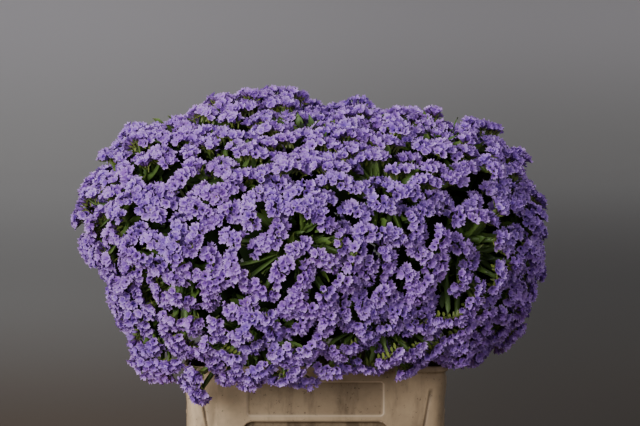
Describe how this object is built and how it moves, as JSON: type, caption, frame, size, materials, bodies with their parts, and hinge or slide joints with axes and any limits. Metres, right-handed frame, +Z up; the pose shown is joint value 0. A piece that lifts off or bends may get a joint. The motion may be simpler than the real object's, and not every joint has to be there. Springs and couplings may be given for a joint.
{
  "type": "statice in a flower crate",
  "caption": "Dense dome of lilac statice sprays on winged green stems, standing in a tapered moulded flower crate with sunk panels and an open top",
  "frame": {"origin": "on the floor, under the middle of the crate's base", "axes": "X along the crate's length, Y along its depth with the front at -Y, Z up"},
  "size_m": [0.7297, 0.6235, 0.7283],
  "materials": {
    "crate_plastic": "matte, stained tan",
    "statice_green": "matte green",
    "statice_lilac": "papery lilac"
  },
  "bodies": {
    "root": {"crate": "crate_plastic", "spray_01_stem": "statice_green", "spray_01_flowers": "statice_lilac", "spray_02_stem": "statice_green", "spray_02_flowers": "statice_lilac", "spray_03_stem": "statice_green", "spray_03_flowers": "statice_lilac", "spray_04_stem": "statice_green", "spray_04_flowers": "statice_lilac", "spray_05_stem": "statice_green", "spray_05_flowers": "statice_lilac", "spray_06_stem": "statice_green", "spray_06_flowers": "statice_lilac", "spray_07_stem": "statice_green", "spray_07_flowers": "statice_lilac", "spray_08_stem": "statice_green", "spray_08_flowers": "statice_lilac", "spray_09_stem": "statice_green", "spray_09_flowers": "statice_lilac", "spray_10_stem": "statice_green", "spray_10_flowers": "statice_lilac", "spray_11_stem": "statice_green", "spray_11_flowers": "statice_lilac", "spray_12_stem": "statice_green", "spray_12_flowers": "statice_lilac", "spray_13_stem": "statice_green", "spray_13_flowers": "statice_lilac", "spray_14_stem": "statice_green", "spray_14_flowers": "statice_lilac", "spray_15_stem": "statice_green", "spray_15_flowers": "statice_lilac", "spray_16_stem": "statice_green", "spray_16_flowers": "statice_lilac", "spray_17_stem": "statice_green", "spray_17_flowers": "statice_lilac", "spray_18_stem": "statice_green", "spray_18_flowers": "statice_lilac", "spray_19_stem": "statice_green", "spray_19_flowers": "statice_lilac", "spray_20_stem": "statice_green", "spray_20_flowers": "statice_lilac", "spray_21_stem": "statice_green", "spray_21_flowers": "statice_lilac", "spray_22_stem": "statice_green", "spray_22_flowers": "statice_lilac", "spray_23_stem": "statice_green", "spray_23_flowers": "statice_lilac", "spray_24_stem": "statice_green", "spray_24_flowers": "statice_lilac", "spray_25_stem": "statice_green", "spray_25_flowers": "statice_lilac", "spray_26_stem": "statice_green", "spray_26_flowers": "statice_lilac", "spray_27_stem": "statice_green", "spray_27_flowers": "statice_lilac", "spray_28_stem": "statice_green", "spray_28_flowers": "statice_lilac", "spray_29_stem": "statice_green", "spray_29_flowers": "statice_lilac"}
  },
  "joints": []
}
